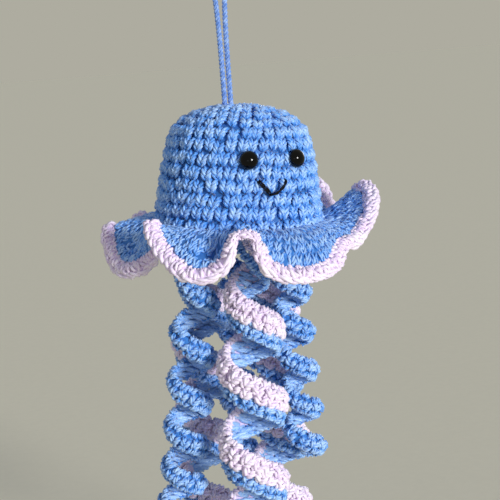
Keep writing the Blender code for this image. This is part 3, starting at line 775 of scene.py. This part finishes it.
def ribbon_fabric(stations, low, high, thick):
    """Flat tube between two edges of a ribbon; v = 0.25 is the middle of its outer face."""
    centres, outward, crosswise, share = stations
    angle = np.linspace(0, math.tau, 241)[:-1]
    wide = np.sign(np.cos(angle)) * np.abs(np.cos(angle)) ** 0.7
    section = np.stack([wide * ((high - low) / 2 - 0.0007), np.sin(angle) * thick], axis=-1)
    section = spaced(section, 40, closed=True)
    middle = centres + crosswise * ((low + high) / 2 * share)[:, None]
    side = ((low + high) / 2 + section[:, 0]) / max(-low, high)
    crown = RIBBON_CROWN * (0.5 - side * side)
    rise = (section[:, 1] * np.minimum(1, share + 0.15)[:, None] + crown * share[:, None])[..., None]
    points = middle[:, None] + crosswise[:, None] * section[None, :, :1] * share[:, None, None]
    points = points + outward[:, None] * rise
    return Fabric(points, round_u=False, round_v=True, away_from=middle[:, None])


def dress(piece, node):
    """Hides the solid that a piece stands for, and puts the piece on the body it rides on."""
    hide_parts(node)
    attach(piece, "root")
    return piece


def finish_work(work, node, finish, name=None):
    """Makes and dresses the piece that stands for a node, tilted as it hangs."""
    return dress(work.make(name or node + "_crochet", finish_named(finish), hang_matrix()), node)


def paint_node(node, finish):
    """Gives a solid that stays in the scene its material."""
    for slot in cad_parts[node].material_slots:
        slot.material = finish_named(finish)


class JELLYFISH_OT_camera(bpy.types.Operator):
    """Camera at the photograph's angle, and the lamps"""
    bl_idname = "jellyfish.camera"
    bl_label = "Camera and lamps"

    def execute(self, context):
        a, e, r = (math.radians(angle) for angle in (CAMERA_AZIMUTH, CAMERA_ELEVATION, CAMERA_ROLL))
        back = Vector((math.sin(a) * math.cos(e), -math.cos(a) * math.cos(e), math.sin(e)))
        right = Vector((math.cos(a), math.sin(a), 0))
        up = back.cross(right)
        tall = up * math.cos(r) + right * math.sin(r)
        wide = tall.cross(back)
        target = hang_matrix() @ Vector((0, 0, -TARGET_DEPTH)) + wide * TARGET_SIDE
        data = bpy.data.cameras.new("camera")
        data.sensor_width = CAMERA_SENSOR_MM
        data.lens = CAMERA_SENSOR_MM * CAMERA_DISTANCE / (CAMERA_PIXEL * CAMERA_PIXELS)
        data.clip_start = 0.01
        camera = bpy.data.objects.new("camera", data)
        camera.matrix_world = placed((wide, tall, back), target + back * CAMERA_DISTANCE)
        context.collection.objects.link(camera)
        context.scene.camera = camera
        lamps = (("key", back + right * 0.74 + up * 0.03, 2.80, 14.0, "#FFFFFF"),
                 ("fill", back - right * 0.1 - up * 0.3, 0.24, 30.0, "#EEF3FF"),
                 ("rim", right * 0.3 - back + up * 0.2, 1.0, 30.0, "#EEF3FF"))
        for name, offset, strength, spread, code in lamps:
            lamp = bpy.data.lights.new(name, "SUN")
            lamp.angle = math.radians(spread)
            lamp.energy = strength
            lamp.color = linear(code)
            holder = bpy.data.objects.new(name, lamp)
            holder.location = target + offset
            holder.rotation_euler = (-offset).to_track_quat("-Z", "Y").to_euler()
            context.collection.objects.link(holder)
        context.scene.view_settings.view_transform = "Standard"
        return {"FINISHED"}


class JELLYFISH_OT_cord(bpy.types.Operator):
    """Doubled twisted cord that hangs the part, and its knot"""
    bl_idname = "jellyfish.cord"
    bl_label = "Hanging loop"

    def execute(self, context):
        strand_gap = CORD_DIAMETER / 2 + GAP / 2
        foot = -LOOP_DROP - BELL_WALL - GAP
        split = -LOOP_DROP + LOOP_SPREAD_START
        centre = -LOOP_RADIUS - CORD_DIAMETER / 2
        slant = math.radians(LOOP_SPREAD_DEG)
        bend = centre - LOOP_RADIUS * math.sin(slant)
        wide = LOOP_RADIUS * math.cos(slant)
        rising = []
        for height in np.linspace(foot, bend, 15):
            share = max(0.0, (height - split) / (bend - split))
            apart = strand_gap + (wide - strand_gap) * share ** LOOP_SPREAD_POWER
            rising.append(polar(LEAN_AZIMUTH, apart, height))
        over = [polar(LEAN_AZIMUTH, LOOP_RADIUS * math.cos(angle), centre + LOOP_RADIUS * math.sin(angle))
                for angle in np.linspace(-slant, math.pi + slant, 13)[1:-1]]
        falling = [point * (-1, -1, 1) for point in reversed(rising)]
        points = np.array(rising + over + falling)
        steps = 250
        path = spaced(rounded(points, 8, closed=False), steps + 1)
        length = float(lengths(path))
        work = Work()
        ups = np.broadcast_to(polar(LEAN_AZIMUTH + 90.0, 1.0, 0.0), path.shape)[None]
        twist_pitch = 4.2 * MM
        tones = np.full((1, steps + 1), 0.62) + 0.10 * np.sin(np.arange(steps + 1) * 0.9)[None]
        lay(work, model_strand(7, steps, tip=0.6), path[None], ups, CORD_DIAMETER / 2, tones, plies=3,
            turns=length / twist_pitch)
        cord = work.make("hanging_loop_cord", finish_named("twisted_cotton_cord"))
        dress(cord, "hanging_loop")
        paint_node("cord_knot", "knotted_cord")
        return {"FINISHED"}


class JELLYFISH_OT_bell(bpy.types.Operator):
    """Stuffed bell in rounds of single crochet"""
    bl_idname = "jellyfish.bell"
    bl_label = "Bell"

    def execute(self, context):
        yarn = context.scene.jellyfish_yarn
        fabric = bell_fabric()
        eyes = [polar(azimuth, bell_radius(EYE_DEPTH), -EYE_DEPTH) for azimuth in EYE_AZIMUTHS.values()]

        def press(spots):
            """Stitches lie flatter under an eye."""
            low = np.zeros(spots.shape[:-1])
            for eye in eyes:
                away = np.linalg.norm(spots - eye, axis=-1)
                low = np.minimum(low, -EYE_PRESS * np.clip((EYE_PRESS_REACH - away) / EYE_PRESS_FADE, 0, 1))
            return low

        work = Work()
        # Painted shade: dark backing between the stitches, and legs darker towards their feet.
        backing(work, fabric, -0.0028, -0.0010, 90, 40, tone=0.2, poles=True)
        crochet(work, model_strand(4, 6), fabric, bell_rounds(), 11, radius=yarn.yarn_radius * 1.06,
                crest=0.0001, dive=-0.0015, width=yarn.stitch_width, lean=0.36, spread=0.22,
                reach=(-0.07, 0.96), plies=3, turns=1.0, press=press, pale=0.20, tone=0.78)
        finish_work(work, "bell", BLUE_YARN)
        paint_node("stuffing", "polyester_fibrefill")
        return {"FINISHED"}


class JELLYFISH_OT_disc(bpy.types.Operator):
    """Crocheted disc under the bell"""
    bl_idname = "jellyfish.disc"
    bl_label = "Base disc"

    def execute(self, context):
        yarn = context.scene.jellyfish_yarn
        radius = BELL_BASE_RADIUS - BELL_WALL
        reach = np.linspace(0.0004, radius, 40)
        azimuth = np.arange(120) * 3.0
        fabric = Fabric(polar(azimuth[:, None], reach[None], -BELL_HEIGHT), facing=-1.0)
        rounds = round(radius / yarn.row_height)
        rows = [(index / rounds, (index + 1) / rounds, 6 * (index + 1), 0.2 * index)
                for index in range(rounds)]
        work = Work()
        backing(work, fabric, -0.0022, -0.0006, 60, 12, poles=True)
        crochet(work, model_strand(5, 6), fabric, rows, 23, radius=yarn.yarn_radius, crest=-0.0002,
                dive=-0.0011, width=yarn.stitch_width, lean=0.2, plies=1)
        finish_work(work, "base_disc", BLUE_YARN)
        return {"FINISHED"}


class JELLYFISH_OT_frill(bpy.types.Operator):
    """Ruffled frill: its cloth, the stitches on both faces, and the edging"""
    bl_idname = "jellyfish.frill"
    bl_label = "Frill"

    def execute(self, context):
        fabric = frill_fabric(tuck=0.0010)[0]
        work = Work()
        # The ground's low tone is painted shade between the frill's stitches.
        backing(work, fabric, -0.0005, 0.0005, 360, 12, tone=0.25)
        cloth = finish_work(work, "frill", BLUE_YARN, name="frill_ground")
        strand = model_strand(4, 6)
        under = Fabric(fabric.points, facing=-1.0)
        work = Work()
        crochet(work, strand, fabric, FRILL_ROWS, 31, radius=0.00092, crest=0.0006, dive=0.0001,
                width=FRILL_STITCH, lean=0.4, spread=0.2, reach=(-0.15, 1.10), pale=0.5, tone=0.80)
        crochet(work, strand, under, FRILL_ROWS, 32, radius=0.00090, crest=0.0005, dive=-0.0001,
                width=FRILL_STITCH, lean=0.3, reach=(-0.12, 1.08), plies=1)
        stitches = finish_work(work, "frill", BLUE_YARN)
        edging = edging_fabric()
        work = Work()
        backing(work, edging, 0.0, 0.0, 360, 12, tone=0.45)
        strand = model_strand(4, 5)
        for row in range(EDGING_ROUNDS):
            rows = [((row - 0.5) / EDGING_ROUNDS, (row + 0.5) / EDGING_ROUNDS, EDGING_STITCHES, 0.3 * row)]
            crochet(work, strand, edging, rows, 41 + row, radius=0.00118, crest=0.0001, dive=-0.0005,
                    width=EDGING_STITCH, chain=row == 0, spread=0.25, lean=0.3, pale=0.8, tone=0.72)
        finish_work(work, "frill_edging", WHITE_YARN)
        return {"FINISHED"}


class JELLYFISH_OT_tentacles(bpy.types.Operator):
    """Corkscrew ribbons: three in blue, and three in white with a blue border"""
    bl_idname = "jellyfish.tentacles"
    bl_label = "Tentacles"

    def execute(self, context):
        strand = model_strand(4, 5)
        seed = 60
        for name, azimuth, reach, coil, width, *run in BLUE_TENTACLES:
            half = width * MM / 2
            seed += 10
            fabric, count = self.ribbon(curl(BLUE_OPENING_LENGTH, azimuth, reach, coil, *run), -half, half)
            work = self.outer_face(strand, fabric, (-0.08, 0.58, 3, count), seed, 0.35, radius=0.00100,
                                   crest=0.0003, dive=-0.0008, **BLUE_STITCH)
            self.inner_face(work, strand, fabric, (0.57, 0.93, 2, count), seed + 1)
            finish_work(work, name, BLUE_YARN)
        for name, azimuth, reach, coil, width, *run in WHITE_TENTACLES:
            half = width * MM / 2
            split = BLUE_EDGE_WIDTH - half
            seed += 10
            stations = curl(WHITE_OPENING_LENGTH, azimuth, reach, coil, *run)
            upper, count = self.ribbon(stations, split, half)
            lower, count = self.ribbon(stations, -half, split + RIBBON_OVERLAP)
            work = self.outer_face(strand, upper, (-0.09, 0.49, 3, count), seed, 0.45, radius=0.00122,
                                   crest=0.0005, dive=-0.0006, **WHITE_STITCH)
            finish_work(work, "tentacle_white_" + name, WHITE_YARN)
            work = self.outer_face(strand, lower, (-0.02, 0.56, 2, count), seed + 1, 0.35, radius=0.00092,
                                   crest=0.0003, dive=-0.0007, **BLUE_STITCH)
            self.inner_face(work, strand, lower, (0.57, 1.03, 2, count), seed + 2)
            self.inner_face(work, strand, upper, (0.46, 0.94, 2, count), seed + 3)
            finish_work(work, "tentacle_edge_" + name, BLUE_YARN)
        return {"FINISHED"}

    def ribbon(self, stations, low, high):
        """Surface of one colour of a ribbon, and its number of stitches in a round."""
        fabric = ribbon_fabric(stations, low, high, RIBBON_THICKNESS)
        return fabric, round(lengths(fabric.points[:, 10]) / RIBBON_STITCH)

    def rounds(self, first, last, number, count):
        edges = np.linspace(first, last, number + 1)
        return [(edges[index], edges[index + 1], count, 0.4 * index) for index in range(number)]

    def outer_face(self, strand, fabric, span, seed, shade, **stitch):
        """Cloth of the ribbon, and the stitches on the side that faces out."""
        work = Work()
        # shade is the cloth's tone: painted shade between the stitches.
        backing(work, fabric, 0.0, -0.0004, len(fabric.points) // 2, 16, tone=shade)
        crochet(work, strand, fabric, self.rounds(*span), seed, width=RIBBON_STITCH, **stitch)
        return work

    def inner_face(self, work, strand, fabric, span, seed):
        """Long smooth strands on the side that faces the middle of the curl."""
        crochet(work, strand, fabric, self.rounds(*span), seed, radius=0.00098, crest=0.0001, dive=-0.0001,
                width=RIBBON_STITCH, lean=-1.3, spread=0.2, reach=(-0.15, 1.15), plies=1, pale=0.95,
                tone=0.86)


class JELLYFISH_OT_face(bpy.types.Operator):
    """Safety eyes and the embroidered smile"""
    bl_idname = "jellyfish.face"
    bl_label = "Face"

    def frame_at(self, azimuth, depth):
        step = 0.0005
        slope = float(bell_radius(depth + step) - bell_radius(depth - step)) / (2 * step)
        outward = Vector(polar(azimuth, 1.0, slope)).normalized()
        upward = (Vector((0, 0, 1)) - outward * outward.z).normalized()
        return placed((upward.cross(outward), upward, outward),
                      Vector(polar(azimuth, float(bell_radius(depth)), -depth)))

    def execute(self, context):
        trim = context.scene.jellyfish_trim
        for name, azimuth in EYE_AZIMUTHS.items():
            deselect_all()
            bpy.ops.mesh.primitive_uv_sphere_add(segments=40, ring_count=24, radius=1.0, location=(0, 0, 0))
            eye = bpy.context.object
            eye.name = name + "_dome"
            bpy.ops.object.mode_set(mode="EDIT")
            bpy.ops.mesh.select_all(action="SELECT")
            bpy.ops.mesh.bisect(plane_co=(0, 0, 0.0), plane_no=(0, 0, -1), clear_outer=True, use_fill=True)
            bpy.ops.mesh.extrude_region_move(TRANSFORM_OT_translate={"value": (0, 0, -0.16)})
            bpy.ops.transform.resize(value=(0.9, 0.9, 1))
            bpy.ops.mesh.inset(thickness=0.5)
            bpy.ops.mesh.extrude_region_move(TRANSFORM_OT_translate={"value": (0, 0, -2.6)})
            close_edit()
            shape = Matrix.Translation((0, 0, EYE_SEAT)) @ Matrix.Diagonal(
                (trim.eye_radius, trim.eye_radius, trim.eye_dome, 1.0))
            eye.data.transform(hang_matrix() @ self.frame_at(azimuth, EYE_DEPTH) @ shape)
            bpy.ops.object.shade_smooth_by_angle(angle=math.radians(50))
            eye.data.materials.append(finish_named("moulded_eye_plastic"))
            dress(eye, name)
            paint_node(name.replace("eye", "eye_washer"), "moulded_washer_plastic")
        work = Work()
        steps = 16
        strand = model_strand(6, steps)
        dip = 1.0 - np.abs(np.linspace(-1, 1, steps + 1)) ** 6
        for points, sides, share in SMILE_LEGS:
            route = spaced(rounded(np.array(points, dtype=float), 12, closed=False), steps + 1)
            fabric_spots = polar(route[:, 0], bell_radius(route[:, 1] * MM), -route[:, 1] * MM)
            out = unit(polar(route[:, 0], 1.0, 0.16))
            along = unit(np.gradient(fabric_spots, axis=0))
            across = np.cross(out, along)
            for side in sides:
                path = fabric_spots + out * (SMILE_LIFT * (0.1 + 0.9 * dip))[:, None] + across * side * MM
                lay(work, strand, path[None], out[None], trim.thread_radius * share,
                    np.full((1, steps + 1), 0.5), turns=1.5)
        finish_work(work, "smile", "embroidery_thread_black", name="smile_thread")
        return {"FINISHED"}


class JELLYFISH_OT_stage(bpy.types.Operator):
    """Plain pale floor and background"""
    bl_idname = "jellyfish.stage"
    bl_label = "Stage"

    def execute(self, context):
        stage = context.scene.jellyfish_stage
        tint = tuple(stage.backdrop)
        deselect_all()
        bpy.ops.mesh.primitive_plane_add(size=60.0, location=(0, 0, CAD_BOX[0][2] - stage.floor_gap))
        floor = bpy.context.object
        floor.name = "floor"
        bpy.ops.object.transform_apply(location=True, rotation=True, scale=True)
        paint = tuple(channel / lit for channel, lit in zip(tint, FLOOR_LIGHT))
        floor.data.materials.append(plain_finish("painted_floor", paint, roughness=0.9, grain_mm=4.0,
                                                 relief_mm=0.0, gloss=0.0, shift=0.02))
        world = bpy.data.worlds.new("studio")
        context.scene.world = world
        world.use_nodes = True
        tree = world.node_tree
        light = tree.nodes["Background"]
        light.inputs["Color"].default_value = (*linear("#E4EAFA"), 1.0)
        light.inputs["Strength"].default_value = 0.42
        seen = add_node(tree, "Background", in_Color=(*tint, 1.0), in_Strength=1.0)
        rays = add_node(tree, "LightPath").outputs
        glossy = add_maths(tree, "MAXIMUM", rays["Is Camera Ray"], rays["Is Glossy Ray"])
        clear = add_maths(tree, "MAXIMUM", glossy, rays["Is Transmission Ray"])
        mixed = add_node(tree, "MixShader", [(0, clear), (1, light), (2, seen)])
        tree.links.new(mixed.outputs[0], tree.nodes["World Output"].inputs["Surface"])
        return {"FINISHED"}


class JELLYFISH_PT_panel(bpy.types.Panel):
    bl_idname = "JELLYFISH_PT_panel"
    bl_label = "Jellyfish"
    bl_space_type = "VIEW_3D"
    bl_region_type = "UI"
    bl_category = "Jellyfish"

    def draw(self, context):
        for key, group in GROUPS.items():
            box = self.layout.box()
            for name in group.__annotations__:
                box.prop(getattr(context.scene, key), name)
        for operator in OPERATORS:
            self.layout.operator(operator.bl_idname)


GROUPS = {"jellyfish_yarn": JellyfishYarn, "jellyfish_trim": JellyfishTrim, "jellyfish_stage": JellyfishStage}
OPERATORS = (JELLYFISH_OT_camera, JELLYFISH_OT_cord, JELLYFISH_OT_bell, JELLYFISH_OT_disc, JELLYFISH_OT_frill,
             JELLYFISH_OT_tentacles, JELLYFISH_OT_face, JELLYFISH_OT_stage)
CLASSES = (*OPERATORS, JELLYFISH_PT_panel)


def register():
    for name, group in GROUPS.items():
        bpy.utils.register_class(group)
        setattr(bpy.types.Scene, name, bpy.props.PointerProperty(type=group))
    for item in CLASSES:
        bpy.utils.register_class(item)


def unregister():
    for item in reversed(CLASSES):
        bpy.utils.unregister_class(item)
    for name, group in GROUPS.items():
        delattr(bpy.types.Scene, name)
        bpy.utils.unregister_class(group)


def main():
    register()
    bpy.ops.jellyfish.camera()
    bpy.ops.jellyfish.cord()
    bpy.ops.jellyfish.bell()
    bpy.ops.jellyfish.disc()
    bpy.ops.jellyfish.frill()
    bpy.ops.jellyfish.tentacles()
    bpy.ops.jellyfish.face()
    bpy.ops.jellyfish.stage()


if __name__ == "__main__":
    main()
